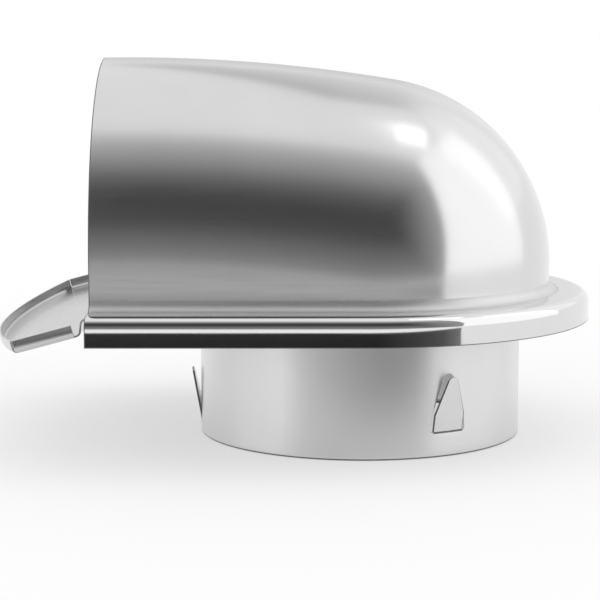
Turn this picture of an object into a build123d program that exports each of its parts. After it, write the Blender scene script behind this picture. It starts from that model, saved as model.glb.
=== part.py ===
"""Wall ventilation cap for a 100 mm duct: drawn hood, base pan with drip tongue, and duct spigot.

Frame in millimetres: Z = 0 is the wall plane at the foot of the flange lip, +Z points away from
the wall, the duct runs along the Z axis, and the mouth of the hood opens toward -X.
"""
import math
import os

from build123d import *

os.makedirs("parts", exist_ok=True)

# Sheet and fits
SHEET = 0.6  # stainless sheet of all three pieces
PAN_CLEARANCE = 0.2  # pan edge to the inside of the flange's rounded rim
COLLAR_CLEARANCE = 0.1  # pan hole to the neck of the spigot
LANCE_GAP = 0.35  # cut around each spring tab

# Flange of the hood: U plan, round at the closed end, flush with the mouth
FLANGE_HALF_WIDTH = 70.0
FLANGE_HEIGHT = 8.4
FLANGE_EDGE_RADIUS = 3.0
MOUTH_X = -77.6

# Drawn hood: a round dome behind, a slightly crowned barrel toward the mouth
HOOD_RADIUS = 56.5
HOOD_FOOT_RADIUS = 3.0  # drawn radius where the hood rises from the flange
DOME_CENTRE = (1.4, 0.0, 15.9)
CROWN_TILT = 9.5  # lean of the plane where dome and barrel join
CROWN_RADIUS = 433.0  # long curve that the barrel's centre line follows

# Spigot
SPIGOT_DIAMETER = 98.0
SPIGOT_DEPTH = 36.0  # reach behind the wall plane
COLLAR_WIDTH = 4.5  # turned-out collar that sits on the pan
COLLAR_BEND = 0.8

# Spring tabs lanced from the spigot
TAB_ANGLES = (60.0, 180.0, 300.0)
TAB_SETBACK = 7.5  # end of the spigot to the hinge of a tab
MOUTH_TAB_ANGLE = 180.0  # the tab below the mouth
MOUTH_TAB_SETBACK = 3.0  # it sits closer to the end of the spigot
TAB_LENGTH = 16.8  # hinge to the tip of the window
TAB_BASE_WIDTH = 10.9
TAB_SHOULDER = 5.0  # straight part of the sides above the hinge
TAB_TIP_RADIUS = 1.8
TAB_LEAN = 10.5  # degrees outward

# Drip tongue of the pan, a shallow tray below the mouth
TONGUE_STEP = 4.3  # drop from the pan to the tongue
TONGUE_TILT = 15.0
TONGUE_LENGTH = 30.0
TONGUE_SIDE = 18.6  # length of the straight sides
TONGUE_OVERHANG = 2.0  # side rim of the tongue beyond the edge of the pan
TONGUE_RIM = 3.8
TONGUE_BEND = 1.6  # outside radius of the rim's fold
STEP_BEND = 1.2  # middle radius of the two bends in the step
STEP_LEAN = 0.5
STEP_OUT = 1.0  # mouth plane to the middle of the step's sheet
RIM_START = 1.3  # gap in the rim beside the step
CORNER_NOTCH = 0.5  # relief between side rim and end rim

# Sizes that follow from the ones above
PAN_TOP = FLANGE_HEIGHT - SHEET
PAN_BOTTOM = PAN_TOP - SHEET
PAN_HALF_WIDTH = FLANGE_HALF_WIDTH - FLANGE_EDGE_RADIUS - PAN_CLEARANCE
TONGUE_HALF_WIDTH = PAN_HALF_WIDTH + TONGUE_OVERHANG
SPIGOT_RADIUS = SPIGOT_DIAMETER / 2
BORE_RADIUS = SPIGOT_RADIUS - SHEET
COLLAR_RADIUS = SPIGOT_RADIUS + COLLAR_WIDTH
BEYOND_MOUTH = MOUTH_X - 12.0  # rough end of the drawn shapes before the mouth is trimmed


def u_plan(half_width, front_x):
    """U outline with its round end on the duct axis and its open end at front_x."""
    return Circle(half_width) + Pos(front_x / 2, 0) * Rectangle(-front_x, 2 * half_width)


def keep_ahead(shape, origin, direction):
    """The part of a shape that lies on the given side of a plane."""
    return split(shape, Plane(origin=origin, z_dir=direction), keep=Keep.TOP)


def hood_form(inset):
    """Solid under the hood and flange, a given distance inside their outer surface."""
    radius = HOOD_RADIUS - inset
    top = FLANGE_HEIGHT - inset
    leg = 2 * HOOD_RADIUS / 3
    lean = math.radians(CROWN_TILT)
    up = Vector(math.sin(lean), 0, math.cos(lean))
    centre = Vector(*DOME_CENTRE)
    joint = Plane(origin=centre, x_dir=(0, -1, 0), z_dir=(-up.Z, 0, up.X))

    # Arch on the plane where dome and barrel join, and the half of it that turns into the dome
    legs = Polyline((-radius, 0), (-radius, -leg), (radius, -leg), (radius, 0))
    arch = make_face(legs + ThreePointArc((radius, 0), (0, radius), (-radius, 0)))
    half_arch = arch & Pos(radius, 0) * Rectangle(2 * radius, 4 * radius)
    spine = Axis(centre - up * CROWN_RADIUS, (0, -1, 0))
    barrel = revolve(joint * arch, axis=spine, revolution_arc=CROWN_TILT + 3)
    dome = revolve(joint * half_arch, axis=Axis(centre, up), revolution_arc=180)
    hood = keep_ahead(barrel + dome, centre, (0, 0, 1))
    hood = keep_ahead(hood, (BEYOND_MOUTH, 0, 0), (1, 0, 0))

    # Upright wall below the dome, down into the flange
    wall = extrude(u_plan(radius, BEYOND_MOUTH - centre.X), amount=FLANGE_HEIGHT / 2 - centre.Z)
    hood += Pos(centre.X, 0, centre.Z) * wall

    # Flange block with its rounded rim, joined to the hood by the drawn foot radius
    flange = extrude(u_plan(FLANGE_HALF_WIDTH - inset, BEYOND_MOUTH), amount=top)
    rim = flange.faces().sort_by(Axis.Z)[-1].edges()
    rim = rim.filter_by(lambda e: (e @ 0.5).X > BEYOND_MOUTH + 1)
    form = fillet(rim, FLANGE_EDGE_RADIUS - inset) + hood
    foot = form.edges().filter_by_position(Axis.Z, top - 0.001, top + 0.001)
    foot = foot.filter_by(lambda e: (e @ 0.5).X > BEYOND_MOUTH + 1)
    foot = foot.filter_by(lambda e: math.hypot(max((e @ 0.5).X, 0), (e @ 0.5).Y) < HOOD_RADIUS + 3)
    return fillet(foot, HOOD_FOOT_RADIUS + inset)


def make_hood_shell():
    """One drawn sheet: hood, foot radius, flange and turned-down lip, trimmed square at the mouth."""
    below = extrude(u_plan(FLANGE_HALF_WIDTH - SHEET, BEYOND_MOUTH), amount=-1)
    shell = hood_form(0) - (hood_form(SHEET) + below)
    return keep_ahead(shell, (MOUTH_X, 0, 0), (1, 0, 0))


def tray_block(plane, inset, back):
    """Solid of the tongue's tray, a given distance inside its outer surface."""
    bulge = TONGUE_LENGTH - TONGUE_SIDE
    end_radius = (TONGUE_HALF_WIDTH**2 + bulge**2) / (2 * bulge)
    half = TONGUE_HALF_WIDTH - inset
    corner = TONGUE_LENGTH - end_radius + math.sqrt((end_radius - inset) ** 2 - half**2)
    sides = Polyline((corner, -half), (back, -half), (back, half), (corner, half))
    end = ThreePointArc((corner, half), (TONGUE_LENGTH - inset, 0), (corner, -half))
    block = extrude(Pos(0, 0, inset) * make_face(sides + end), amount=TONGUE_RIM)
    fold = block.faces().sort_by(Axis.Z)[0].edges().filter_by(lambda e: (e @ 0.5).X > back + 0.5)
    return plane * fillet(fold, TONGUE_BEND - inset)


def make_base_pan():
    """One folded sheet: plate under the flange, step at the mouth and the tray-like drip tongue."""
    tilt = math.radians(TONGUE_TILT)
    middle = PAN_TOP - SHEET / 2
    step_x = MOUTH_X - STEP_OUT
    foot = Vector(step_x - STEP_LEAN, 0, middle - TONGUE_STEP)
    run = Vector(-math.cos(tilt), 0, -math.sin(tilt))
    rise = Vector(-math.sin(tilt), 0, math.cos(tilt))
    tray_plane = Plane(origin=foot - rise * (SHEET / 2), x_dir=run, z_dir=rise)

    # Plate and step, drawn as the middle line of the sheet seen from the side
    end = foot + run * (RIM_START + 2 * TONGUE_BEND)
    inner_x = step_x + 4 * STEP_BEND
    line = Polyline((inner_x, middle), (step_x, middle), (foot.X, foot.Z), (end.X, end.Z))
    line = fillet(line.vertices().sort_by(Axis.X)[1:3], STEP_BEND)
    band = make_face(offset(line, amount=SHEET / 2, side=Side.BOTH).edges())
    side_view = Plane(origin=(0, 0, 0), x_dir=(1, 0, 0), z_dir=(0, -1, 0))
    step = extrude(side_view * band, amount=PAN_HALF_WIDTH, both=True)
    plate = Pos(0, 0, PAN_BOTTOM) * extrude(u_plan(PAN_HALF_WIDTH, inner_x), amount=SHEET) + step
    plate -= Pos(0, 0, middle) * Cylinder(SPIGOT_RADIUS + COLLAR_BEND + COLLAR_CLEARANCE, 4 * SHEET)

    # Tray with its folded rim, open toward the step and relieved at the two corners
    tray = tray_block(tray_plane, 0, RIM_START) - tray_block(tray_plane, SHEET, RIM_START - 1)
    tray = keep_ahead(tray, tray_plane.origin + rise * TONGUE_RIM, -rise)
    for side in (-1, 1):
        notch = Box(CORNER_NOTCH, 4 * TONGUE_BEND, 4 * TONGUE_RIM)
        spot = Pos(TONGUE_SIDE, side * TONGUE_HALF_WIDTH, 2 * TONGUE_RIM + TONGUE_BEND)
        tray -= tray_plane * spot * Rot(0, 0, side * 45) * notch
    return plate + tray


def make_spigot():
    """Rolled tube with a turned-out collar and three spring tabs lanced and bent outward."""
    collar_top = PAN_TOP + SHEET
    outline = Polyline(
        (BORE_RADIUS, -SPIGOT_DEPTH),
        (SPIGOT_RADIUS, -SPIGOT_DEPTH),
        (SPIGOT_RADIUS, PAN_TOP),
        (COLLAR_RADIUS, PAN_TOP),
        (COLLAR_RADIUS, collar_top),
        (BORE_RADIUS, collar_top),
        close=True,
    )
    wall = make_face(outline)
    bend = wall.vertices().filter_by(lambda v: v.X < COLLAR_RADIUS - 1 and v.Y > 0)
    wall = chamfer(bend.sort_by(Axis.Y)[:1], COLLAR_BEND)
    bend = wall.vertices().filter_by(lambda v: abs(v.X - BORE_RADIUS) < 0.01 and v.Y > 0)
    wall = chamfer(bend, COLLAR_BEND + SHEET / 2)
    tube = revolve(Plane.XZ * wall, axis=Axis.Z)

    bore = Pos(0, 0, -SPIGOT_DEPTH / 2) * Cylinder(BORE_RADIUS, SPIGOT_DEPTH)
    plain = Pos(0, 0, -SPIGOT_DEPTH / 2) * Cylinder(SPIGOT_RADIUS, SPIGOT_DEPTH) - bore
    for angle in TAB_ANGLES:
        turn = math.radians(angle)
        setback = MOUTH_TAB_SETBACK if angle == MOUTH_TAB_ANGLE else TAB_SETBACK
        hinge_z = setback - SPIGOT_DEPTH
        outward = Vector(math.cos(turn), math.sin(turn), 0)
        facing = Plane(origin=(0, 0, hinge_z), x_dir=(-outward.Y, outward.X, 0), z_dir=outward)
        hinge = Axis(outward * BORE_RADIUS + Vector(0, 0, hinge_z), facing.x_dir)
        window = facing * tab_prism(TAB_BASE_WIDTH, TAB_LENGTH, 0)
        cut = tab_prism(TAB_BASE_WIDTH - 2 * LANCE_GAP, TAB_LENGTH - LANCE_GAP, SHEET)
        tab = plain & facing * cut
        tube = tube - window + (tab.rotate(hinge, TAB_LEAN) - bore)
    return tube


def tab_prism(base_width, length, root):
    """Tab outline with straight shoulders and a round tip, run through the tube wall.

    The hinge lies on the X axis, and root is how far the outline reaches below it.
    """
    half = base_width / 2
    base = Line((-half, 0), (half, 0))
    shoulder = Line((-half, TAB_SHOULDER), (half, TAB_SHOULDER))
    tip = CenterArc((0, length - TAB_TIP_RADIUS), TAB_TIP_RADIUS, 0, 360)
    outline = make_hull(base.edges() + shoulder.edges() + tip.edges())
    if root:
        outline += Pos(0, -root / 2) * Rectangle(base_width, root)
    return Pos(0, 0, BORE_RADIUS - 2) * extrude(outline, amount=8)


PIECES = {
    "hood_shell": make_hood_shell,
    "base_pan": make_base_pan,
    "spigot": make_spigot,
}

if __name__ == "__main__":
    for name, make in PIECES.items():
        piece = make()
        print(name, len(piece.solids()), piece.is_valid, round(piece.volume), piece.bounding_box())
        export_step(piece, f"parts/{name}.step")
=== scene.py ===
"""Visual model of a stainless wall ventilation cap, laid out as an add-on.

Hood, base pan and spigot are sheets made from formulas. They stand for the three nodes of the
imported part, in the same frame and at the same size: metres, Z up from the wall plane, the duct
along the Z axis, the mouth of the hood toward -X.
"""

import math

import bpy
import numpy as np
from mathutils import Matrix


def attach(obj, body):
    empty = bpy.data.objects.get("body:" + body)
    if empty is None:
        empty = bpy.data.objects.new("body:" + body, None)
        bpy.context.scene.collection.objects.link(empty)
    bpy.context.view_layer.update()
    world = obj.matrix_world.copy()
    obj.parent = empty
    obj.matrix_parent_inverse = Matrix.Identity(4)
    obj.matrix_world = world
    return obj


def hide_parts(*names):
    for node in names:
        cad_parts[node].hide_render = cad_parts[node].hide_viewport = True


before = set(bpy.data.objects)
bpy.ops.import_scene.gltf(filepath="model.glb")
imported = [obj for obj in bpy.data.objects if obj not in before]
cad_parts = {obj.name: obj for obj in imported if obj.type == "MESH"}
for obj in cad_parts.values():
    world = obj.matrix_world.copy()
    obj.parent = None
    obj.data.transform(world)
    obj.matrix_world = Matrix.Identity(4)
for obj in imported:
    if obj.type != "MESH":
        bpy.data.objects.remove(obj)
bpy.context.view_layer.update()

bl_info = {
    "name": "Ventilation cap",
    "version": (1, 0, 0),
    "blender": (4, 5, 0),
    "location": "View3D > Sidebar > Vent cap",
    "description": "Builds a stainless wall ventilation cap and the stage it is shown on",
    "category": "Add Mesh",
}

QUARTER = math.pi / 2
TINY = 1e-9  # slack when lengths or cosines are compared
WELD = 2e-6  # grid points closer than this become one vertex
WELD_PHASE = 0.37  # keeps round coordinates off the borders of the weld's cells
EDGE_SEGMENTS = 2
EDGE_ANGLE = math.radians(50)  # edges sharper than this are rounded
CHART = "Along"  # UV map with the distances up and along a sheet

# Points along each stretch of the hood: section first, then barrel and round end
LIP_POINTS, BEND_POINTS, FLAT_POINTS, WALL_POINTS, ARCH_POINTS = 4, 9, 4, 4, 57
BARREL_POINTS, DOME_POINTS = 41, 121

# Points along each stretch of the pan: tongue first, then the rays of the plate
FOLD_POINTS, RIM_POINTS, ACROSS_POINTS, STEP_POINTS, TONGUE_POINTS = 6, 3, 61, 7, 15
SIDE_RAYS, END_RAYS, RAY_POINTS = 19, 73, 7
STEP_LEG = 0.01  # straight legs before and after the step's bends, in metres

# Points along each stretch of the spigot: windows, tube from its end up, tabs
TIP_POINTS, SLOPE_POINTS, PLAIN_POINTS = 6, 6, 35
ROUND_POINTS, LOWER_POINTS, UPPER_POINTS, NECK_POINTS, COLLAR_POINTS = 5, 5, 15, 7, 4
TAB_FOOT_POINTS, TAB_SIDE_POINTS, TAPER_POINTS = 7, 5, 13
TAB_FOOT = 0.2  # share of a tab's shoulder that has the finer rows
TAB_SOFTNESS = 0.0008  # length over which a tab bends outward, in metres
CREASE_POWER = 4  # how squarely the crease ends at a tab's sides

# Material slots of the hood and of the spigot
# The edge slots hold dull cut steel, darkened further as painted shade along the edges
HOOD_SATIN, HOOD_BRIGHT, HOOD_EDGE_SHADE, HOOD_DRAWN = range(4)
TUBE_SATIN, TUBE_EDGE_SHADE = range(2)

# Finish of each steel: lowest and highest roughness, spread across the grain, relief of the grain
FINISHES = {
    "hood_satin": (0.17, 0.21, 0.5, 0.05),
    "flange_bright": (0.05, 0.07, 0.3, 0.02),
    # Painted shade: dull cut steel darkened into a dark line along the hood's lip and mouth edges
    "hood_dull_edge_and_painted_shade": (0.40, 0.50, 0.2, 0.05),
    "hood_drawn_radius": (0.45, 0.55, 0.3, 0.05),
    "pan_bright": (0.18, 0.24, 0.4, 0.03),
    "spigot_satin": (0.31, 0.35, 0.7, 0.05),
    # Painted shade: dull cut steel darkened into dark lines at the spigot's end, tab sides and
    # creases
    "spigot_dull_edge_and_painted_shade": (0.40, 0.50, 0.2, 0.05),
}
STREAK_SCALE = (2200.0, 40.0, 1.0)  # grain across and along the rows, per metre
STREAK_DETAIL = 4.0
CLOUD_SCALE, CLOUD_DETAIL = 45.0, 3.0
NOISE_LOW, NOISE_HIGH = 0.3, 0.7  # range of the noise that is used
CLOUD_DARK, CLOUD_LIGHT = (0.98, 0.98, 0.985), (1.02, 1.02, 1.02)  # factors on the colour
GRAIN_DEPTH = 0.00001  # relief of the grain in metres

# Stage
FLOOR_REACH = 4.0
FLOOR_SCALE = 3.0
FLOOR_CHANGE = 0.01  # colour of the floor varies by this up and down
FLOOR_FADE = (0.10, 0.45)  # distances over which the floor turns white
FLOOR_GLOW = 0.5  # share of white at the object
PATCH_LIFT = 0.0003  # card on the floor, above it
SENSOR = 36.0  # width in millimetres
NEAR_CLIP = 0.01

# Lamps: place, point that they face, side
TOP_LAMP = (0.35, 0.06, 0.98), (0.0, 0.0, 0.0), 0.26
RIGHT_LAMP = (1.1, -0.30, 0.50), (0.0, 0.0, 0.02), 1.9
BACK_LAMP = (1.05, 0.65, 0.90), (0.0, 0.0, 0.02), 1.2
LEFT_LAMP = (-1.1, -0.45, 0.22), (0.0, 0.0, 0.0), 1.4

# Grey levels across and up the studio cards, as pairs of place in metres and level
HIGH_ACROSS = [
    (-0.25, 0.8), (-0.18, 0.4), (-0.10, 0.03), (0.06, 0.03), (0.11, 0.12), (0.165, 0.25),
    (0.22, 0.36),
]
HIGH_UPWARD = [
    (-0.016, 0.55), (0.01, 0.27), (0.10, 0.07), (0.17, 0.055), (0.235, 0.125), (0.36, 0.365),
    (0.90, 0.85),
]
LOW_ACROSS = [
    (-0.25, 0.6), (-0.16, 0.03), (0.02, 0.02), (0.08, 0.06), (0.13, 0.10), (0.178, 0.22),
]
LOW_UPWARD = [
    (-0.0361, 0.02), (-0.011, 0.02), (-0.0098, 1.15), (-0.0035, 1.15), (-0.001, 0.45),
]
WALL_ACROSS = [(-1.2, 0.75), (0.1, 0.75), (0.4, 0.98)]
WALL_UPWARD = [(0.1, 0.75), (0.45, 0.75), (0.7, 0.98)]
PATCH_ACROSS = [
    (-0.125, 1.0), (-0.06, 0.92), (-0.02, 0.62), (0.03, 0.32), (0.08, 0.22), (0.13, 0.42),
    (0.20, 0.85),
]
ROOF_AWAY = [(0.0, 0.55), (0.25, 0.74), (0.7, 0.92), (1.2, 1.0)]  # from the roof's edge
NO_LEVEL = [(-1.0, 0.0), (2.0, 0.0)]  # for a card graded only across


class CapSheet(bpy.types.PropertyGroup):
    """Sheet that all three pieces are made of."""

    thickness: bpy.props.FloatProperty(
        name="Thickness", description="Thickness of the sheet", default=0.0006, unit="LENGTH"
    )
    edge: bpy.props.FloatProperty(
        name="Edge", description="Rounding of the cut edges", default=0.00012, unit="LENGTH"
    )
    # Width of the dark strips along cut edges: dull steel, darkened further as painted shade
    trim: bpy.props.FloatProperty(
        name="Trim", description="Width of the dull strip along a cut edge", default=0.0003,
        unit="LENGTH",
    )


class CapHood(bpy.types.PropertyGroup):
    """Sizes of the drawn hood and its flange."""

    mouth_x: bpy.props.FloatProperty(
        name="Mouth", description="Plane of the mouth", default=-0.0776, unit="LENGTH"
    )
    half_width: bpy.props.FloatProperty(
        name="Flange half width", description="Middle to the lip", default=0.06997, unit="LENGTH"
    )
    height: bpy.props.FloatProperty(
        name="Flange height", description="Wall to the flange's top", default=0.0084, unit="LENGTH"
    )
    rim_radius: bpy.props.FloatProperty(
        name="Rim radius", description="Rounding of the flange's rim", default=0.003, unit="LENGTH"
    )
    foot_radius: bpy.props.FloatProperty(
        name="Foot radius", description="Drawn radius at the hood's foot", default=0.003,
        unit="LENGTH",
    )
    radius: bpy.props.FloatProperty(
        name="Hood radius", description="Radius of dome and barrel", default=0.0565, unit="LENGTH"
    )
    centre_x: bpy.props.FloatProperty(
        name="Dome centre X", description="Dome centre along the mouth axis", default=0.0014,
        unit="LENGTH",
    )
    centre_z: bpy.props.FloatProperty(
        name="Dome centre Z", description="Dome centre above the wall", default=0.0159,
        unit="LENGTH",
    )
    tilt: bpy.props.FloatProperty(
        name="Crown tilt", description="Lean of the joint of dome and barrel",
        default=math.radians(9.5), subtype="ANGLE",
    )
    crown: bpy.props.FloatProperty(
        name="Crown radius", description="Long curve of the barrel", default=0.433, unit="LENGTH"
    )
    colour: bpy.props.FloatVectorProperty(
        name="Colour", description="Steel of the hood", default=(0.69, 0.69, 0.69), subtype="COLOR",
        min=0.0, max=1.0,
    )
    flange_colour: bpy.props.FloatVectorProperty(
        name="Flange colour", description="Steel of the flange", default=(0.72, 0.72, 0.72),
        subtype="COLOR", min=0.0, max=1.0,
    )
    # Dull cut steel, darkened further as painted shade along the hood's edges
    dull_edge_and_shade_colour: bpy.props.FloatVectorProperty(
        name="Edge colour", description="Steel along cut edges", default=(0.25, 0.25, 0.25),
        subtype="COLOR", min=0.0, max=1.0,
    )


class CapPan(bpy.types.PropertyGroup):
    """Sizes of the base pan and its drip tongue, on the middle of the sheet."""

    level: bpy.props.FloatProperty(
        name="Level", description="Plate above the wall plane", default=0.0075, unit="LENGTH"
    )
    half_width: bpy.props.FloatProperty(
        name="Half width", description="Middle to the plate's edge", default=0.0668, unit="LENGTH"
    )
    hole: bpy.props.FloatProperty(
        name="Hole radius", description="Hole for the spigot", default=0.0499, unit="LENGTH"
    )
    step_x: bpy.props.FloatProperty(
        name="Step", description="Place of the step in front of the mouth", default=-0.0786,
        unit="LENGTH",
    )
    step_lean: bpy.props.FloatProperty(
        name="Step lean", description="Slant of the step", default=0.0005, unit="LENGTH"
    )
    drop: bpy.props.FloatProperty(
        name="Drop", description="Height of the step", default=0.0043, unit="LENGTH"
    )
    bend: bpy.props.FloatProperty(
        name="Step bend", description="Radius of the step's bends", default=0.0012, unit="LENGTH"
    )
    tilt: bpy.props.FloatProperty(
        name="Tongue tilt", description="Slope of the tongue", default=math.radians(15.0),
        subtype="ANGLE",
    )
    length: bpy.props.FloatProperty(
        name="Tongue length", description="Step to the tip", default=0.0297, unit="LENGTH"
    )
    tongue_half: bpy.props.FloatProperty(
        name="Tongue half width", description="Middle to the side rim", default=0.0685,
        unit="LENGTH",
    )
    end_radius: bpy.props.FloatProperty(
        name="End radius", description="Curve of the tongue's end", default=0.213, unit="LENGTH"
    )
    fold: bpy.props.FloatProperty(
        name="Fold radius", description="Radius of the rim's fold", default=0.0013, unit="LENGTH"
    )
    rim: bpy.props.FloatProperty(
        name="Rim height", description="Tongue to the top of its rim", default=0.0035, unit="LENGTH"
    )
    rim_start: bpy.props.FloatProperty(
        name="Rim start", description="Gap in the rim beside the step", default=0.0013,
        unit="LENGTH",
    )
    notch: bpy.props.FloatProperty(
        name="Corner notch", description="Relief beside each corner", default=0.00025, unit="LENGTH"
    )
    colour: bpy.props.FloatVectorProperty(
        name="Colour", description="Steel of the pan", default=(0.56, 0.56, 0.56), subtype="COLOR",
        min=0.0, max=1.0,
    )


class CapSpigot(bpy.types.PropertyGroup):
    """Sizes of the spigot and its spring tabs."""

    radius: bpy.props.FloatProperty(
        name="Radius", description="Outside of the tube", default=0.049, unit="LENGTH"
    )
    depth: bpy.props.FloatProperty(
        name="Depth", description="Reach behind the wall plane", default=0.036, unit="LENGTH"
    )
    collar_z: bpy.props.FloatProperty(
        name="Collar level", description="Underside of the collar", default=0.0078, unit="LENGTH"
    )
    collar_radius: bpy.props.FloatProperty(
        name="Collar radius", description="Outside of the collar", default=0.0535, unit="LENGTH"
    )
    bend: bpy.props.FloatProperty(
        name="Collar bend", description="Radius under the collar", default=0.0008, unit="LENGTH"
    )
    tab_angles: bpy.props.FloatVectorProperty(
        name="Tab angles", description="Places of the tabs about the duct axis", size=3,
        subtype="EULER", default=(math.radians(60.0), math.radians(180.0), math.radians(300.0)),
    )
    hinges: bpy.props.FloatVectorProperty(
        name="Hinges", description="Levels where the tabs bend", size=3, subtype="TRANSLATION",
        unit="LENGTH", default=(-0.0285, -0.033, -0.0285),
    )
    tab_length: bpy.props.FloatProperty(
        name="Tab length", description="Hinge to the window's tip", default=0.0168, unit="LENGTH"
    )
    shoulder: bpy.props.FloatProperty(
        name="Shoulder", description="Upright part of a tab's sides", default=0.005,
        unit="LENGTH",
    )
    tab_half: bpy.props.FloatProperty(
        name="Tab half width", description="Half of the window's base", default=0.00545,
        unit="LENGTH",
    )
    tip_radius: bpy.props.FloatProperty(
        name="Tip radius", description="Rounding of the tip", default=0.0018, unit="LENGTH"
    )
    foot: bpy.props.FloatProperty(
        name="End radius", description="Rounding of the tube's end", default=0.0005, unit="LENGTH"
    )
    crease: bpy.props.FloatProperty(
        name="Crease", description="Depth of the line pressed in where a tab bends",
        default=0.00008, unit="LENGTH",
    )
    crease_width: bpy.props.FloatProperty(
        name="Crease width", description="Reach of that line below and above the bend",
        default=0.0005, unit="LENGTH",
    )
    lance: bpy.props.FloatProperty(
        name="Lance gap", description="Cut around each tab", default=0.00035, unit="LENGTH"
    )
    lean: bpy.props.FloatProperty(
        name="Lean", description="Outward lean of the tabs", default=math.radians(10.5),
        subtype="ANGLE",
    )
    colour: bpy.props.FloatVectorProperty(
        name="Colour", description="Steel of the spigot", default=(0.72, 0.72, 0.72),
        subtype="COLOR", min=0.0, max=1.0,
    )
    # Dull cut steel, darkened further as painted shade along the spigot's edges and creases
    dull_edge_and_shade_colour: bpy.props.FloatVectorProperty(
        name="Edge colour", description="Steel along cut edges", default=(0.16, 0.16, 0.16),
        subtype="COLOR", min=0.0, max=1.0,
    )


class CapStage(bpy.types.PropertyGroup):
    """Camera, floor and light."""

    eye: bpy.props.FloatVectorProperty(
        name="Camera", description="Place of the camera", default=(-0.01844, -0.59991, 0.0854),
        subtype="TRANSLATION", unit="LENGTH",
    )
    pitch: bpy.props.FloatProperty(
        name="Pitch", description="Downward look", default=math.radians(7.73), subtype="ANGLE"
    )
    lens: bpy.props.FloatProperty(
        name="Lens", description="Focal length in millimetres", default=117.67, unit="CAMERA"
    )
    floor_z: bpy.props.FloatProperty(
        name="Floor", description="Level of the floor", default=-0.0361, unit="LENGTH"
    )
    floor_colour: bpy.props.FloatVectorProperty(
        name="Floor colour", description="Pale grey of the floor", default=(0.87, 0.87, 0.87),
        subtype="COLOR", min=0.0, max=1.0,
    )
    overhead: bpy.props.FloatProperty(
        name="Overhead", description="Power of the top lamp", default=0.18, unit="POWER"
    )
    side: bpy.props.FloatProperty(
        name="Right", description="Power of the lamp at the right", default=3.6, unit="POWER"
    )
    back: bpy.props.FloatProperty(
        name="Back", description="Power of the lamp behind at the right", default=0.6, unit="POWER"
    )
    left: bpy.props.FloatProperty(
        name="Left", description="Power of the lamp at the left", default=3.4, unit="POWER"
    )


def span(start, end, count):
    """Evenly spaced values from start to end."""
    return np.linspace(start, end, count)


def sheet_object(name, patches, materials):
    """One welded mesh from grid patches, given its thickness by Solidify.

    A patch is (points, chart, slot, keep): points and chart are arrays of rows by columns, and a
    cell of four neighbouring points is a face wherever keep is true. Points that coincide are
    merged, so a cell that shrinks at a pole or a ridge becomes a triangle or goes.
    """
    sheet = bpy.context.scene.cap_sheet
    points, charts, cells, slots, start = [], [], [], [], 0
    for grid, chart, slot, keep in patches:
        rows, columns = grid.shape[:2]
        index = start + np.arange(rows * columns).reshape(rows, columns)
        quads = np.stack([index[:-1, :-1], index[:-1, 1:], index[1:, 1:], index[1:, :-1]], axis=-1)
        keep = np.broadcast_to(keep, quads.shape[:2])
        cells.append(quads[keep])
        slots.append(np.broadcast_to(slot, quads.shape[:2])[keep])
        points.append(grid.reshape(-1, 3))
        charts.append(chart.reshape(-1, 2))
        start += rows * columns
    points, charts = np.concatenate(points), np.concatenate(charts)
    cells, slots = np.concatenate(cells), np.concatenate(slots)

    keys = np.floor(points / WELD + WELD_PHASE).astype(np.int64)
    _, first, merged = np.unique(keys, axis=0, return_index=True, return_inverse=True)
    corner = merged.reshape(-1)[cells]
    distinct = corner != np.roll(corner, 1, axis=1)
    sizes = distinct.sum(axis=1)
    solid = sizes >= 3
    corner, distinct, cells = corner[solid], distinct[solid], cells[solid]
    sizes, slots = sizes[solid], slots[solid]
    used, corner_index = np.unique(corner[distinct], return_inverse=True)

    mesh = bpy.data.meshes.new(name)
    mesh.vertices.add(len(used))
    mesh.vertices.foreach_set("co", points[first[used]].astype(np.float32).ravel())
    mesh.loops.add(len(corner_index))
    mesh.loops.foreach_set("vertex_index", corner_index.reshape(-1).astype(np.int32))
    mesh.polygons.add(len(sizes))
    mesh.polygons.foreach_set("loop_start", (np.cumsum(sizes) - sizes).astype(np.int32))
    mesh.polygons.foreach_set("material_index", slots.astype(np.int32))
    layer = mesh.uv_layers.new(name=CHART)
    layer.uv.foreach_set("vector", charts[cells[distinct]].astype(np.float32).ravel())
    mesh.update(calc_edges=True)
    if mesh.validate():
        raise RuntimeError(name + " has faces that don't close up")
    mesh.shade_smooth()
    for material in materials:
        mesh.materials.append(material)

    obj = bpy.data.objects.new(name, mesh)
    bpy.context.scene.collection.objects.link(obj)
    solidify = obj.modifiers.new("Sheet", "SOLIDIFY")
    solidify.thickness = sheet.thickness
    solidify.offset = -1.0
    solidify.use_even_offset = True
    solidify.use_quality_normals = True
    bevel = obj.modifiers.new("Edges", "BEVEL")
    bevel.width = sheet.edge
    bevel.segments = EDGE_SEGMENTS
    bevel.limit_method = "ANGLE"
    bevel.angle_limit = EDGE_ANGLE
    bevel.use_clamp_overlap = False
    bevel.harden_normals = True
    return obj


def arc_lengths(points, axis):
    """Distance travelled along one axis of a grid of points."""
    steps = np.linalg.norm(np.diff(points, axis=axis), axis=-1)
    zero = np.zeros_like(np.take(steps, [0], axis=axis))
    return np.concatenate([zero, np.cumsum(steps, axis=axis)], axis=axis)


def chart_of(points):
    """Chart of a grid of points: distance up each column, and distance along the first row."""
    along = np.broadcast_to(arc_lengths(points[:1], 1), points.shape[:2])
    return np.stack([arc_lengths(points, 0), along], axis=-1)


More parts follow.
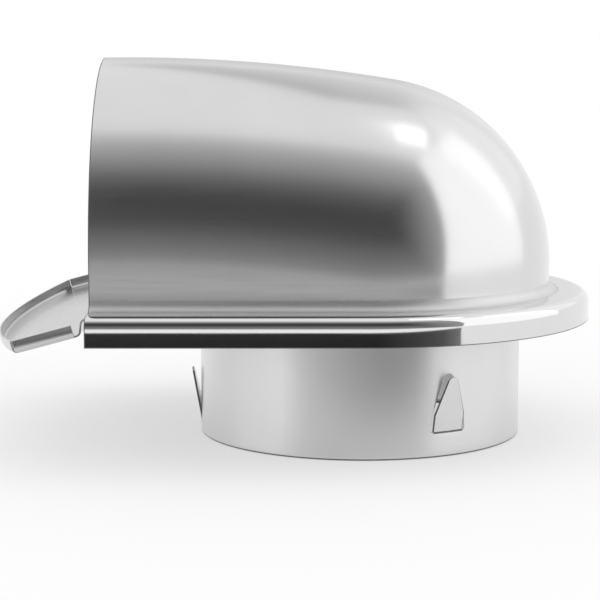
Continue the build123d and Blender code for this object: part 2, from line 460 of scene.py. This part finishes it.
def hood_surface(hood, trim):
    """Outer surface of hood and flange: a section carried round a U.

    Rows climb the section: lip, rounded rim, flange, foot radius, upright wall, arch. Columns run
    from the near mouth edge back, round the closed end and forward to the far mouth edge. On the
    straight sides the arch is a circle across the barrel's centre line, which is itself a long
    circle in the middle plane. Round the end each column is the great circle of the dome from its
    own foot to the pole, and the pole leans back from the mouth by the crown tilt.
    """
    rim, foot = hood.rim_radius, hood.foot_radius
    turn = span(0, QUARTER, BEND_POINTS)
    lip_z = np.insert(span(0, hood.height - rim, LIP_POINTS), 1, trim)
    flat_r = span(hood.half_width - rim, hood.radius + foot, FLAT_POINTS)
    wall = span(0, 1, WALL_POINTS)
    rise = span(0, QUARTER, ARCH_POINTS)

    # Section below the arch: distance from the middle, level, and centre of the round end
    reach = np.concatenate([
        np.full(len(lip_z), hood.half_width),
        hood.half_width - rim + rim * np.cos(turn[1:]),
        flat_r[1:],
        hood.radius + foot - foot * np.sin(turn[1:]),
    ])
    level = np.concatenate([
        lip_z,
        hood.height - rim + rim * np.sin(turn[1:]),
        np.full(len(flat_r) - 1, hood.height),
        hood.height + foot - foot * np.cos(turn[1:]),
    ])
    centre = np.concatenate([
        np.zeros(len(lip_z) + len(turn) - 1),
        span(0, hood.centre_x, len(flat_r))[1:],
        np.full(len(turn) - 1, hood.centre_x),
    ])
    low = len(reach)
    bright_rows = len(lip_z) + len(turn) - 2 + len(flat_r) - 1
    drawn_rows = bright_rows + len(turn) - 1

    # Barrel along the straight sides
    trim_share = trim / (hood.centre_x - hood.mouth_x)
    along = np.insert(span(0, 1, BARREL_POINTS), 1, trim_share)
    back = np.concatenate([
        centre,
        np.full(len(wall) - 1, hood.centre_x),
        hood.centre_x + hood.radius * np.sin(rise[1:]) * math.sin(hood.tilt),
    ])
    x = hood.mouth_x + (back[:, None] - hood.mouth_x) * along
    axis_x = hood.centre_x - hood.crown * math.sin(hood.tilt)
    axis_z = hood.centre_z - hood.crown * math.cos(hood.tilt)
    spine_z = axis_z + np.sqrt(hood.crown**2 - (x[low] - axis_x) ** 2)
    wall_z = level[-1] + (spine_z - level[-1]) * wall[1:, None]
    long_r = hood.crown + hood.radius * np.sin(rise[1:, None])
    arch_z = axis_z + np.sqrt(long_r**2 - (x[low + len(wall) - 1:] - axis_x) ** 2)
    z = np.concatenate([np.broadcast_to(level[:, None], (low, len(along))), wall_z, arch_z])
    wall_r = np.full(len(wall) - 1, hood.radius)
    out = np.concatenate([reach, wall_r, hood.radius * np.cos(rise[1:])])
    side = np.stack([x, np.broadcast_to(-out[:, None], x.shape), z], axis=-1)

    # Round end: circles below, great circles of the dome above
    swing = span(0, np.pi, DOME_POINTS)
    heading = np.stack([np.sin(swing), -np.cos(swing), np.zeros_like(swing)], axis=-1)
    ring_r = np.concatenate([reach, wall_r])
    ring_x = np.concatenate([centre, np.full(len(wall) - 1, hood.centre_x)])
    ring_z = np.concatenate([level, level[-1] + (hood.centre_z - level[-1]) * wall[1:]])
    rings = ring_r[:, None, None] * heading
    rings[..., 0] += ring_x[:, None]
    rings[..., 2] += ring_z[:, None]
    pole = np.array([math.sin(hood.tilt), 0, math.cos(hood.tilt)])
    arc = np.arccos(heading @ pole)
    part = (rise[1:] / QUARTER)[:, None]
    weight_foot = np.sin((1 - part) * arc) / np.sin(arc)
    weight_pole = np.sin(part * arc) / np.sin(arc)
    dome = weight_foot[..., None] * heading + weight_pole[..., None] * pole
    dome = hood.radius * dome + np.array([hood.centre_x, 0, hood.centre_z])
    end = np.concatenate([rings, dome])

    far = side[:, ::-1] * np.array([1, -1, 1])
    points = np.concatenate([side, end[:, 1:-1], far], axis=1)
    slot = np.full((points.shape[0] - 1, points.shape[1] - 1), HOOD_SATIN)
    slot[:bright_rows] = HOOD_BRIGHT
    slot[bright_rows:drawn_rows] = HOOD_DRAWN
    # Painted shade: the lip's lowest row and both mouth edges take the dark edge steel
    slot[0] = slot[:, 0] = slot[:, -1] = HOOD_EDGE_SHADE
    return points, slot


def filleted_line(corners, radius, count):
    """Points along a bent line: each inner corner becomes a circular arc of the given radius."""
    before, corner, after = corners[:-2], corners[1:-1], corners[2:]
    into = (corner - before) / np.linalg.norm(corner - before, axis=1, keepdims=True)
    away = (after - corner) / np.linalg.norm(after - corner, axis=1, keepdims=True)
    side = np.sign(into[:, 0] * away[:, 1] - into[:, 1] * away[:, 0])[:, None]
    angle = np.arccos(np.clip((into * away).sum(axis=1), -1, 1))
    start = corner - into * (radius * np.tan(angle / 2))[:, None]
    normal = np.stack([-into[:, 1], into[:, 0]], axis=1) * side
    sweep = angle[:, None] * span(0, 1, count)
    bends = start[:, None] + radius * (
        np.sin(sweep)[..., None] * into[:, None] + (1 - np.cos(sweep))[..., None] * normal[:, None]
    )
    return bends.reshape(-1, 2)


def pan_surface(pan):
    """Middle surfaces of the pan: a plate in rays about the duct axis, and the step and tongue.

    The plate's rays run from its U-shaped outline in to the round hole. The tongue is a grid of
    rows that follow the step down and out to the curved end, and columns across it; past the plate
    of the tongue both turn up through the fold into the rim, and the corner cells are left out.
    """
    fold_a = span(0, QUARTER, FOLD_POINTS)[1:]
    rim_h = span(pan.fold, pan.rim, RIM_POINTS)[1:]
    fold_out = np.concatenate([pan.fold * np.sin(fold_a), np.full(len(rim_h), pan.fold)])
    fold_up = np.concatenate([pan.fold * (1 - np.cos(fold_a)), rim_h])
    turned = len(fold_out)

    # Columns across the tongue's plate, and the step's side view
    flat_half = pan.tongue_half - pan.fold
    across = span(-flat_half, flat_half, ACROSS_POINTS)
    run = np.array([-math.cos(pan.tilt), -math.sin(pan.tilt)])
    rise = np.array([-math.sin(pan.tilt), math.cos(pan.tilt)])
    foot = np.array([pan.step_x - pan.step_lean, pan.level - pan.drop])
    head = np.array([pan.step_x, pan.level])
    corners = np.array([head + [STEP_LEG, 0], head, foot, foot + STEP_LEG * run])
    step = filleted_line(corners, pan.bend, STEP_POINTS)
    step_y = across * (pan.half_width / flat_half)

    # Tongue in its own plane: run, across, up
    hub = pan.length - pan.end_radius
    end_r = pan.end_radius - pan.fold
    bearing = np.arcsin(across / end_r)
    end_s = hub + end_r * np.cos(bearing)
    share = span(0, 1, TONGUE_POINTS)[:, None]
    plate_s = pan.rim_start + share * (end_s - pan.rim_start)
    plate_y = np.broadcast_to(across, plate_s.shape)
    relief = pan.notch * fold_out / pan.fold
    reach = np.arcsin((flat_half + fold_out - relief) / (end_r + fold_out))
    turn_a = bearing * (reach / bearing[-1])[:, None]
    turn_s = hub + (end_r + fold_out[:, None]) * np.cos(turn_a)
    turn_y = (end_r + fold_out[:, None]) * np.sin(turn_a)
    turn_h = np.broadcast_to(fold_up[:, None], turn_s.shape)
    middle_s = np.concatenate([plate_s, turn_s])
    middle_y = np.concatenate([plate_y, turn_y])
    middle_h = np.concatenate([np.zeros_like(plate_s), turn_h])

    # Side rims, as columns beyond the plate; a narrow relief parts them from the end rim
    rows = len(middle_s)
    mitre = hub + np.sqrt((end_r + fold_out) ** 2 - (flat_half + fold_out) ** 2) - relief
    side_s = pan.rim_start + share * (mitre - pan.rim_start)
    side_s = np.concatenate([side_s, np.repeat(side_s[-1:], turned, axis=0)])
    side_y = np.broadcast_to(flat_half + fold_out, (rows, turned))
    side_h = np.broadcast_to(fold_up, (rows, turned))
    tongue_s = np.concatenate([side_s[:, ::-1], middle_s, side_s], axis=1)
    tongue_y = np.concatenate([-side_y[:, ::-1], middle_y, side_y], axis=1)
    tongue_h = np.concatenate([side_h[:, ::-1], middle_h, side_h], axis=1)
    xz = foot + tongue_s[..., None] * run + tongue_h[..., None] * rise
    tongue = np.stack([xz[..., 0], tongue_y, xz[..., 1]], axis=-1)

    # Rows of the step, as wide as the plate, ahead of the tongue's rows
    step_rows = np.stack([
        np.broadcast_to(step[:, :1], (len(step), len(across))),
        np.broadcast_to(step_y, (len(step), len(across))),
        np.broadcast_to(step[:, 1:], (len(step), len(across))),
    ], axis=-1)
    pad = ((0, 0), (turned, turned), (0, 0))
    tongue = np.concatenate([np.pad(step_rows, pad, mode="edge"), tongue])
    keep = np.ones((tongue.shape[0] - 1, tongue.shape[1] - 1), bool)
    plate_rows = len(step) + len(share) - 1
    keep[: len(step), :turned] = False
    keep[: len(step), -turned:] = False
    keep[plate_rows:, :turned] = False
    keep[plate_rows:, -turned:] = False

    # Plate in rays: front edge shared with the step, then the sides and the round end
    front = step[0, 0]
    side_a = np.arctan2(pan.half_width, front)
    front_a = np.arctan2(step_y, front)[::-1] % (2 * np.pi)
    rays = np.concatenate([
        front_a,
        span(2 * np.pi - side_a, 3 * QUARTER, SIDE_RAYS)[1:],
        span(3 * QUARTER, 5 * QUARTER, END_RAYS)[1:],
        span(5 * QUARTER, 2 * np.pi + side_a, SIDE_RAYS)[1:],
    ])
    cosine, sine = np.cos(rays), np.sin(rays)
    with np.errstate(divide="ignore"):
        box = np.minimum(pan.half_width / np.abs(sine), front / np.minimum(cosine, -TINY))
    outline = np.where(cosine >= -TINY, pan.half_width, box)
    inward = span(0, 1, RAY_POINTS)[:, None]
    ray_r = outline + (pan.hole - outline) * inward
    plate = np.stack([ray_r * cosine, ray_r * sine, np.full_like(ray_r, pan.level)], axis=-1)
    return tongue, keep, plate


def tab_outline(half, length, radius):
    """Slant angle of a tab's straight sides, which run from its base to touch the round tip."""
    reach = math.hypot(half, length - radius)
    return math.acos(radius / reach) - math.atan2(length - radius, half)


def spigot_surface(spigot, trim):
    """Outer surface of the spigot: tube below the hinges, tube and collar above, and three tabs.

    The tube is a circle run along its axis. One row follows the hinges of the tabs round the tube,
    and the rows above it start on the outline of the tabs' windows, which is zero between them.
    Each tab rises straight from its hinge line to its shoulders, is ruled from there to the arc of
    its tip, follows the tube's curve across, and leans outward from the hinge. A shallow crease is
    pressed in along the hinge and fades up the tab as a bell curve.
    """
    r, tip, shoulder = spigot.radius, spigot.tip_radius, spigot.shoulder
    slant = tab_outline(spigot.tab_half, spigot.tab_length - shoulder, tip)
    tab_half, tab_length = spigot.tab_half - spigot.lance, spigot.tab_length - spigot.lance
    tab_slant = tab_outline(tab_half, tab_length - shoulder, tip)

    # Places across one window, from the middle out, and the height of its outline there
    tip_x = tip * np.sin(span(0, QUARTER - slant, TIP_POINTS))
    side_x = span(tip_x[-1], tab_half, SLOPE_POINTS)[1:]
    side_x = np.insert(side_x, -1, tab_half - trim)
    half_x = np.concatenate([tip_x, side_x, [spigot.tab_half, spigot.tab_half + spigot.lance]])
    window_x = np.concatenate([-half_x[:0:-1], half_x])
    window_a = np.arcsin(window_x / r)
    size = np.abs(window_x)
    arch = spigot.tab_length - tip + np.sqrt(np.maximum(tip**2 - size**2, 0))
    slope = shoulder + (spigot.tab_half - size) / math.tan(slant)
    window_h = np.where(size <= tip_x[-1] + TINY, arch, slope)
    window_h[[0, -1]] = 0

    # Columns round the tube: windows, and plain stretches where the hinge row runs to the next one
    centres, hinges = np.array(spigot.tab_angles), np.array(spigot.hinges)
    gap = 2 * np.pi / len(centres) - 2 * window_a[-1]
    share = span(0, 1, PLAIN_POINTS)[1:-1]
    period = np.concatenate([window_a, window_a[-1] + gap * share])
    ahead = np.concatenate([np.zeros_like(window_a), share])
    around = np.append((centres[:, None] + period).ravel(), centres[0] + 2 * np.pi + window_a[0])
    hinge = hinges[:, None] + (np.roll(hinges, -1) - hinges)[:, None] * ahead
    hinge = np.append(hinge.ravel(), hinges[0])
    height = np.concatenate([window_h, np.zeros_like(share)])
    height = np.append(np.tile(height, len(centres)), height[0])
    circle = np.stack([np.cos(around), np.sin(around)], axis=-1)
    base_share = np.clip(1 - (window_x / tab_half) ** CREASE_POWER, 0, 1)
    pressed = np.concatenate([base_share, np.zeros_like(share)])
    pressed = np.append(np.tile(pressed, len(centres)), 0)

    # Tube below the hinges, with its end slightly rounded
    round_a = span(0, QUARTER, ROUND_POINTS)[:-1]
    foot_z = -spigot.depth + spigot.foot
    round_r = (r - spigot.foot * (1 - np.sin(round_a)))[:, None] + 0 * around
    round_z = (foot_z - spigot.foot * np.cos(round_a))[:, None] + 0 * around
    under = hinge - spigot.crease_width
    plain_z = foot_z + (under - foot_z) * span(0, 1, LOWER_POINTS)[:, None]
    hinge_r = r - spigot.crease * pressed
    lower_r = np.concatenate([round_r, 0 * plain_z + r, hinge_r[None]])
    lower_z = np.concatenate([round_z, plain_z, hinge[None]])
    lower = np.concatenate([lower_r[..., None] * circle, lower_z[..., None]], axis=-1)

    # Tube above them, bend and collar
    start = hinge + height
    top = spigot.collar_z - spigot.bend
    upper_z = start + (top - start) * span(0, 1, UPPER_POINTS)[:, None]
    bend = span(0, QUARTER, NECK_POINTS)[1:]
    flat_r = span(r + spigot.bend, spigot.collar_radius, COLLAR_POINTS)[1:]
    neck_r, neck_z = r + spigot.bend * (1 - np.cos(bend)), top + spigot.bend * np.sin(bend)
    upper_r = np.concatenate([np.full(len(upper_z), r), neck_r, flat_r])
    collar_z = np.concatenate([neck_z, np.full(len(flat_r), spigot.collar_z)])
    upper_z = np.concatenate([upper_z, collar_z[:, None] + 0 * around])
    upper = np.concatenate([upper_r[:, None, None] * circle, upper_z[..., None]], axis=-1)

    # Tabs
    base_x = window_x[2:-2]
    tip_a = span(np.pi - tab_slant, tab_slant, len(base_x))
    end_x, end_h = tip * np.cos(tip_a), tab_length - tip + tip * np.sin(tip_a)
    taper = span(0, 1, TAPER_POINTS)[1:, None]
    side_share = span(TAB_FOOT, 1, TAB_SIDE_POINTS)[1:]
    low_share = np.append(span(0, TAB_FOOT, TAB_FOOT_POINTS), side_share)
    low_h = shoulder * low_share[:, None] + 0 * base_x
    x = np.concatenate([0 * low_h + base_x, base_x + taper * (end_x - base_x)])
    h = np.concatenate([low_h, shoulder + taper * (end_h - shoulder)])
    fade = np.exp(-((h / spigot.crease_width) ** 2)) * base_share[2:-2]
    leaned = math.sin(spigot.lean) * (np.sqrt(h**2 + TAB_SOFTNESS**2) - TAB_SOFTNESS)
    out = np.sqrt(r**2 - x**2) + leaned - spigot.crease * fade
    cosine, sine = np.cos(centres)[:, None, None], np.sin(centres)[:, None, None]
    level = hinges[:, None, None] + h * math.cos(spigot.lean)
    tabs = np.stack([out * cosine - x * sine, out * sine + x * cosine, level], axis=-1)

    # Dull cut steel darkened as painted shade at the tube's end and along the tabs' sides
    lower_slot = np.full((lower.shape[0] - 1, lower.shape[1] - 1), TUBE_SATIN)
    lower_slot[: len(round_a)] = TUBE_EDGE_SHADE
    # Painted shade: the row along each crease takes the dark edge steel, as a shaded line at the
    # bend
    creased = pressed > 0
    lower_slot[-1] = np.where(creased[:-1] | creased[1:], TUBE_EDGE_SHADE, TUBE_SATIN)
    tab_slot = np.full((tabs.shape[1] - 1, tabs.shape[2] - 1), TUBE_SATIN)
    tab_slot[:, [0, -1]] = TUBE_EDGE_SHADE
    return [(lower, lower_slot), (upper, TUBE_SATIN)] + [(tab, tab_slot) for tab in tabs]


def link(tree, source, output, target, field):
    """Joins an output of one node to an input of another."""
    tree.links.new(source.outputs[output], target.inputs[field])


def steel_material(name, colour):
    """Stainless steel with a grain along the rows of its sheet, in one of the finishes.

    The grain is noise drawn out along the rows: it varies the roughness and the relief. It also
    spreads reflections across the rows more than along them.
    """
    low, high, grain, relief = FINISHES[name]
    material = bpy.data.materials.new(name)
    material.use_nodes = True
    tree = material.node_tree
    shader = tree.nodes["Principled BSDF"]
    shader.inputs["Metallic"].default_value = 1.0
    shader.inputs["Anisotropic"].default_value = grain
    tangent = tree.nodes.new("ShaderNodeTangent")
    tangent.direction_type = "UV_MAP"
    tangent.uv_map = CHART
    link(tree, tangent, "Tangent", shader, "Tangent")
    chart = tree.nodes.new("ShaderNodeUVMap")
    chart.uv_map = CHART
    stretch = tree.nodes.new("ShaderNodeMapping")
    stretch.inputs["Scale"].default_value = STREAK_SCALE
    link(tree, chart, "UV", stretch, "Vector")
    streaks = tree.nodes.new("ShaderNodeTexNoise")
    streaks.inputs["Scale"].default_value = 1.0
    streaks.inputs["Detail"].default_value = STREAK_DETAIL
    link(tree, stretch, "Vector", streaks, "Vector")
    spread = tree.nodes.new("ShaderNodeMapRange")
    spread.inputs["From Min"].default_value = NOISE_LOW
    spread.inputs["From Max"].default_value = NOISE_HIGH
    spread.inputs["To Min"].default_value = low
    spread.inputs["To Max"].default_value = high
    link(tree, streaks, "Fac", spread, "Value")
    link(tree, spread, "Result", shader, "Roughness")
    place = tree.nodes.new("ShaderNodeTexCoord")
    cloud = tree.nodes.new("ShaderNodeTexNoise")
    cloud.inputs["Scale"].default_value = CLOUD_SCALE
    cloud.inputs["Detail"].default_value = CLOUD_DETAIL
    link(tree, place, "Object", cloud, "Vector")
    tint = tree.nodes.new("ShaderNodeValToRGB")
    dark, light = tint.color_ramp.elements
    dark.position, light.position = NOISE_LOW, NOISE_HIGH
    dark.color = (*np.multiply(colour, CLOUD_DARK), 1)
    light.color = (*np.multiply(colour, CLOUD_LIGHT), 1)
    link(tree, cloud, "Fac", tint, "Fac")
    link(tree, tint, "Color", shader, "Base Color")
    bump = tree.nodes.new("ShaderNodeBump")
    bump.inputs["Strength"].default_value = relief
    bump.inputs["Distance"].default_value = GRAIN_DEPTH
    link(tree, streaks, "Fac", bump, "Height")
    link(tree, bump, "Normal", shader, "Normal")
    return material


def settle(obj, node):
    """Ties a piece to the part: it rides on the one body and stands for one node."""
    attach(obj, "root")
    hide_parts(node)


class CAP_OT_hood(bpy.types.Operator):
    """Builds the drawn hood with its flange"""

    bl_idname = "cap.hood"
    bl_label = "Hood"

    def execute(self, context):
        sizes = context.scene.cap_hood
        points, slot = hood_surface(sizes, context.scene.cap_sheet.trim)
        steels = [
            steel_material("hood_satin", sizes.colour),
            steel_material("flange_bright", sizes.flange_colour),
            # Dark edge steel: dull cut steel, darkened further as painted shade
            steel_material("hood_dull_edge_and_painted_shade", sizes.dull_edge_and_shade_colour),
            steel_material("hood_drawn_radius", sizes.colour),
        ]
        hood = sheet_object("hood", [(points, chart_of(points), slot, True)], steels)
        settle(hood, "hood_shell")
        return {"FINISHED"}


class CAP_OT_pan(bpy.types.Operator):
    """Builds the base pan with its step and drip tongue"""

    bl_idname = "cap.pan"
    bl_label = "Base pan"

    def execute(self, context):
        sizes = context.scene.cap_pan
        tongue, keep, plate = pan_surface(sizes)
        bright = steel_material("pan_bright", sizes.colour)
        patches = [(tongue, chart_of(tongue), 0, keep), (plate, chart_of(plate), 0, True)]
        pan = sheet_object("pan", patches, [bright])
        pan.modifiers["Sheet"].offset = 0.0
        settle(pan, "base_pan")
        return {"FINISHED"}


class CAP_OT_spigot(bpy.types.Operator):
    """Builds the spigot with its collar and spring tabs"""

    bl_idname = "cap.spigot"
    bl_label = "Spigot"

    def execute(self, context):
        sizes = context.scene.cap_spigot
        grids = spigot_surface(sizes, context.scene.cap_sheet.trim)
        satin = steel_material("spigot_satin", sizes.colour)
        # Dark edge steel: dull cut steel, darkened further as painted shade
        cut = steel_material("spigot_dull_edge_and_painted_shade", sizes.dull_edge_and_shade_colour)
        patches = [(grid, chart_of(grid), slot, True) for grid, slot in grids]
        spigot = sheet_object("spigot_tube", patches, [satin, cut])
        settle(spigot, "spigot")
        return {"FINISHED"}


def flat_sheet(name, corners):
    """One four-sided face as an object of the stage."""
    mesh = bpy.data.meshes.new(name)
    mesh.from_pydata([tuple(c) for c in corners], [], [(0, 1, 2, 3)])
    obj = bpy.data.objects.new(name, mesh)
    bpy.context.scene.collection.objects.link(obj)
    return obj


def area_lamp(name, place, target, size, power):
    """Soft square lamp that faces a point."""
    lamp = bpy.data.lights.new(name, "AREA")
    lamp.shape = "SQUARE"
    lamp.size = size
    lamp.energy = power
    obj = bpy.data.objects.new(name, lamp)
    bpy.context.scene.collection.objects.link(obj)
    aim = np.array(target) - np.array(place)
    lift = math.atan2(math.hypot(aim[0], aim[1]), -aim[2])
    obj.location = place
    obj.rotation_euler = (lift, 0, math.atan2(aim[1], aim[0]) - QUARTER)


def white_world(scene):
    """White surroundings, for the eye, for reflections and as a light."""
    world = bpy.data.worlds.new("studio")
    scene.world = world
    world.use_nodes = True
    sky = world.node_tree.nodes["Background"]
    sky.inputs["Color"].default_value = (1, 1, 1, 1)
    sky.inputs["Strength"].default_value = 1.0


def floor_material(colour):
    """Pale floor that takes the shadow near the object and fades to the white around it."""
    material = bpy.data.materials.new("floor_white")
    material.use_nodes = True
    tree = material.node_tree
    shader = tree.nodes["Principled BSDF"]
    shader.inputs["Roughness"].default_value = 0.9
    shader.inputs["Specular IOR Level"].default_value = 0.0
    place = tree.nodes.new("ShaderNodeTexCoord")
    noise = tree.nodes.new("ShaderNodeTexNoise")
    noise.inputs["Scale"].default_value = FLOOR_SCALE
    link(tree, place, "Object", noise, "Vector")
    tint = tree.nodes.new("ShaderNodeValToRGB")
    dark, light = tint.color_ramp.elements
    dark.color = (*(np.array(colour) - FLOOR_CHANGE), 1)
    light.color = (*(np.array(colour) + FLOOR_CHANGE), 1)
    link(tree, noise, "Fac", tint, "Fac")
    link(tree, tint, "Color", shader, "Base Color")
    away = tree.nodes.new("ShaderNodeVectorMath")
    away.operation = "LENGTH"
    link(tree, place, "Object", away, 0)
    fade = tree.nodes.new("ShaderNodeMapRange")
    fade.interpolation_type = "SMOOTHSTEP"
    fade.inputs["From Min"].default_value = FLOOR_FADE[0]
    fade.inputs["From Max"].default_value = FLOOR_FADE[1]
    fade.inputs["To Min"].default_value = FLOOR_GLOW
    link(tree, away, "Value", fade, "Value")
    white = tree.nodes.new("ShaderNodeEmission")
    white.inputs["Color"].default_value = (1, 1, 1, 1)
    mix = tree.nodes.new("ShaderNodeMixShader")
    link(tree, fade, "Result", mix, 0)
    link(tree, shader, "BSDF", mix, 1)
    link(tree, white, "Emission", mix, 2)
    link(tree, mix, "Shader", tree.nodes["Material Output"], "Surface")
    return material


def ramp_along(tree, source, axis, stops):
    """Grey levels along one axis of an object's coordinates, given as pairs of place and level."""
    first, last = stops[0][0], stops[-1][0]
    reach = tree.nodes.new("ShaderNodeMapRange")
    reach.inputs["From Min"].default_value = first
    reach.inputs["From Max"].default_value = last
    link(tree, source, axis, reach, "Value")
    ramp = tree.nodes.new("ShaderNodeValToRGB")
    elements = ramp.color_ramp.elements
    while len(elements) < len(stops):
        elements.new(1.0)
    for element, (place, level) in zip(elements, stops):
        element.position = (place - first) / (last - first)
        element.color = (level, level, level, 1)
    link(tree, reach, "Result", ramp, "Fac")
    return ramp


def card_material(name, across, upward, turn=0.0):
    """Studio card with a glow graded across and upward; the lighter of the two shows.

    The direction across is the X axis, turned about the upright axis by the given angle.
    """
    material = bpy.data.materials.new(name)
    material.use_nodes = True
    tree = material.node_tree
    tree.nodes.clear()
    place = tree.nodes.new("ShaderNodeTexCoord")
    split = tree.nodes.new("ShaderNodeSeparateXYZ")
    turned = tree.nodes.new("ShaderNodeMapping")
    turned.inputs["Rotation"].default_value = (0.0, 0.0, -turn)
    link(tree, place, "Object", turned, "Vector")
    link(tree, turned, "Vector", split, "Vector")
    lighter = tree.nodes.new("ShaderNodeMath")
    lighter.operation = "MAXIMUM"
    link(tree, ramp_along(tree, split, "X", across), "Color", lighter, 0)
    link(tree, ramp_along(tree, split, "Z", upward), "Color", lighter, 1)
    glow = tree.nodes.new("ShaderNodeEmission")
    link(tree, lighter, "Value", glow, "Strength")
    output = tree.nodes.new("ShaderNodeOutputMaterial")
    link(tree, glow, "Emission", output, "Surface")
    return material


def studio_card(name, corners, material):
    """Card of the stage that only reflections see."""
    card = flat_sheet(name, corners)
    card.data.materials.append(material)
    card.visible_camera = False
    card.visible_diffuse = False
    card.visible_transmission = False
    card.visible_volume_scatter = False
    card.visible_shadow = False


def studio_cards(floor_z):
    """All cards of the studio: two in front, one behind, one overhead and one on the floor."""
    # Graded card in front for the hood
    y, left, right, right_top, top = -0.25, -0.25, 0.23, 0.42, 0.90
    corners = [(right, y, floor_z), (left, y, floor_z), (left, y, top), (right_top, y, top)]
    studio_card("card_high", corners, card_material("card_graded", HIGH_ACROSS, HIGH_UPWARD))

    # Low card, dark for the lip of the flange and bright above for the rounding of its rim
    y, left, right, top = -0.20, -0.25, 0.178, -0.001
    corners = [(right, y, floor_z), (left, y, floor_z), (left, y, top), (right, y, top)]
    studio_card("card_low", corners, card_material("card_dark", LOW_ACROSS, LOW_UPWARD))

    # Pale wall behind for the crown of the hood
    y, left, right, low, top = 1.2, -1.2, 0.4, 0.1, 0.7
    corners = [(left, y, low), (right, y, low), (right, y, top), (left, y, top)]
    studio_card("card_wall", corners, card_material("card_wall", WALL_ACROSS, WALL_UPWARD))

    # Grey roof far behind, darkest along its slanting edge, for the line along the crown
    edge_a, edge_b, level = np.array([-0.40, 2.40]), np.array([0.20, 0.70]), 1.5
    turn = math.atan2(edge_a[0] - edge_b[0], edge_b[1] - edge_a[1]) + math.pi
    away = np.array([math.cos(turn), math.sin(turn)])
    start, depth = float(edge_a @ away), ROOF_AWAY[-1][0]
    stops = [(start + place, grey) for place, grey in ROOF_AWAY]
    outline = [edge_a, edge_b, edge_b + depth * away, edge_a + depth * away]
    corners = [(*corner, level) for corner in outline]
    studio_card("card_roof", corners, card_material("card_roof", stops, NO_LEVEL, turn))

    # Grey patch just above the floor for the front of the spigot
    left, right, near, far, low = -0.125, 0.20, -0.10, -0.30, floor_z + PATCH_LIFT
    corners = [(left, far, low), (right, far, low), (right, near, low), (left, near, low)]
    studio_card("card_patch", corners, card_material("card_patch", PATCH_ACROSS, NO_LEVEL))


def studio_camera(scene, stage):
    """Camera that looks along +Y and slightly down."""
    camera = bpy.data.cameras.new("camera")
    camera.sensor_width = SENSOR
    camera.lens = stage.lens
    camera.clip_start = NEAR_CLIP
    eye = bpy.data.objects.new("camera", camera)
    scene.collection.objects.link(eye)
    eye.location = stage.eye
    eye.rotation_euler = (QUARTER - stage.pitch, 0, 0)
    scene.camera = eye


class CAP_OT_stage(bpy.types.Operator):
    """Sets up floor, studio cards, light and camera"""

    bl_idname = "cap.stage"
    bl_label = "Stage"

    def execute(self, context):
        scene = context.scene
        stage = scene.cap_stage
        z, reach = stage.floor_z, FLOOR_REACH
        corners = [(-reach, -reach, z), (reach, -reach, z), (reach, reach, z), (-reach, reach, z)]
        floor = flat_sheet("floor", corners)
        floor.data.materials.append(floor_material(stage.floor_colour))
        studio_cards(z)

        white_world(scene)
        area_lamp("top_lamp", *TOP_LAMP, stage.overhead)
        area_lamp("right_lamp", *RIGHT_LAMP, stage.side)
        area_lamp("back_lamp", *BACK_LAMP, stage.back)
        area_lamp("left_lamp", *LEFT_LAMP, stage.left)

        studio_camera(scene, stage)
        scene.view_settings.view_transform = "Standard"
        return {"FINISHED"}


class CAP_PT_panel(bpy.types.Panel):
    """Lists the pieces of the cap in the sidebar"""

    bl_idname = "CAP_PT_panel"
    bl_label = "Ventilation cap"
    bl_space_type = "VIEW_3D"
    bl_region_type = "UI"
    bl_category = "Vent cap"

    def draw(self, context):
        for operator in OPERATORS:
            self.layout.operator(operator.bl_idname)


SETTINGS = {
    "cap_sheet": CapSheet,
    "cap_hood": CapHood,
    "cap_pan": CapPan,
    "cap_spigot": CapSpigot,
    "cap_stage": CapStage,
}
OPERATORS = (CAP_OT_hood, CAP_OT_pan, CAP_OT_spigot, CAP_OT_stage)


def register():
    for name, group in SETTINGS.items():
        bpy.utils.register_class(group)
        setattr(bpy.types.Scene, name, bpy.props.PointerProperty(type=group))
    for operator in OPERATORS:
        bpy.utils.register_class(operator)
    bpy.utils.register_class(CAP_PT_panel)


def unregister():
    bpy.utils.unregister_class(CAP_PT_panel)
    for operator in reversed(OPERATORS):
        bpy.utils.unregister_class(operator)
    for name, group in reversed(list(SETTINGS.items())):
        delattr(bpy.types.Scene, name)
        bpy.utils.unregister_class(group)


def main():
    register()
    bpy.ops.cap.hood()
    bpy.ops.cap.pan()
    bpy.ops.cap.spigot()
    bpy.ops.cap.stage()


if __name__ == "__main__":
    main()
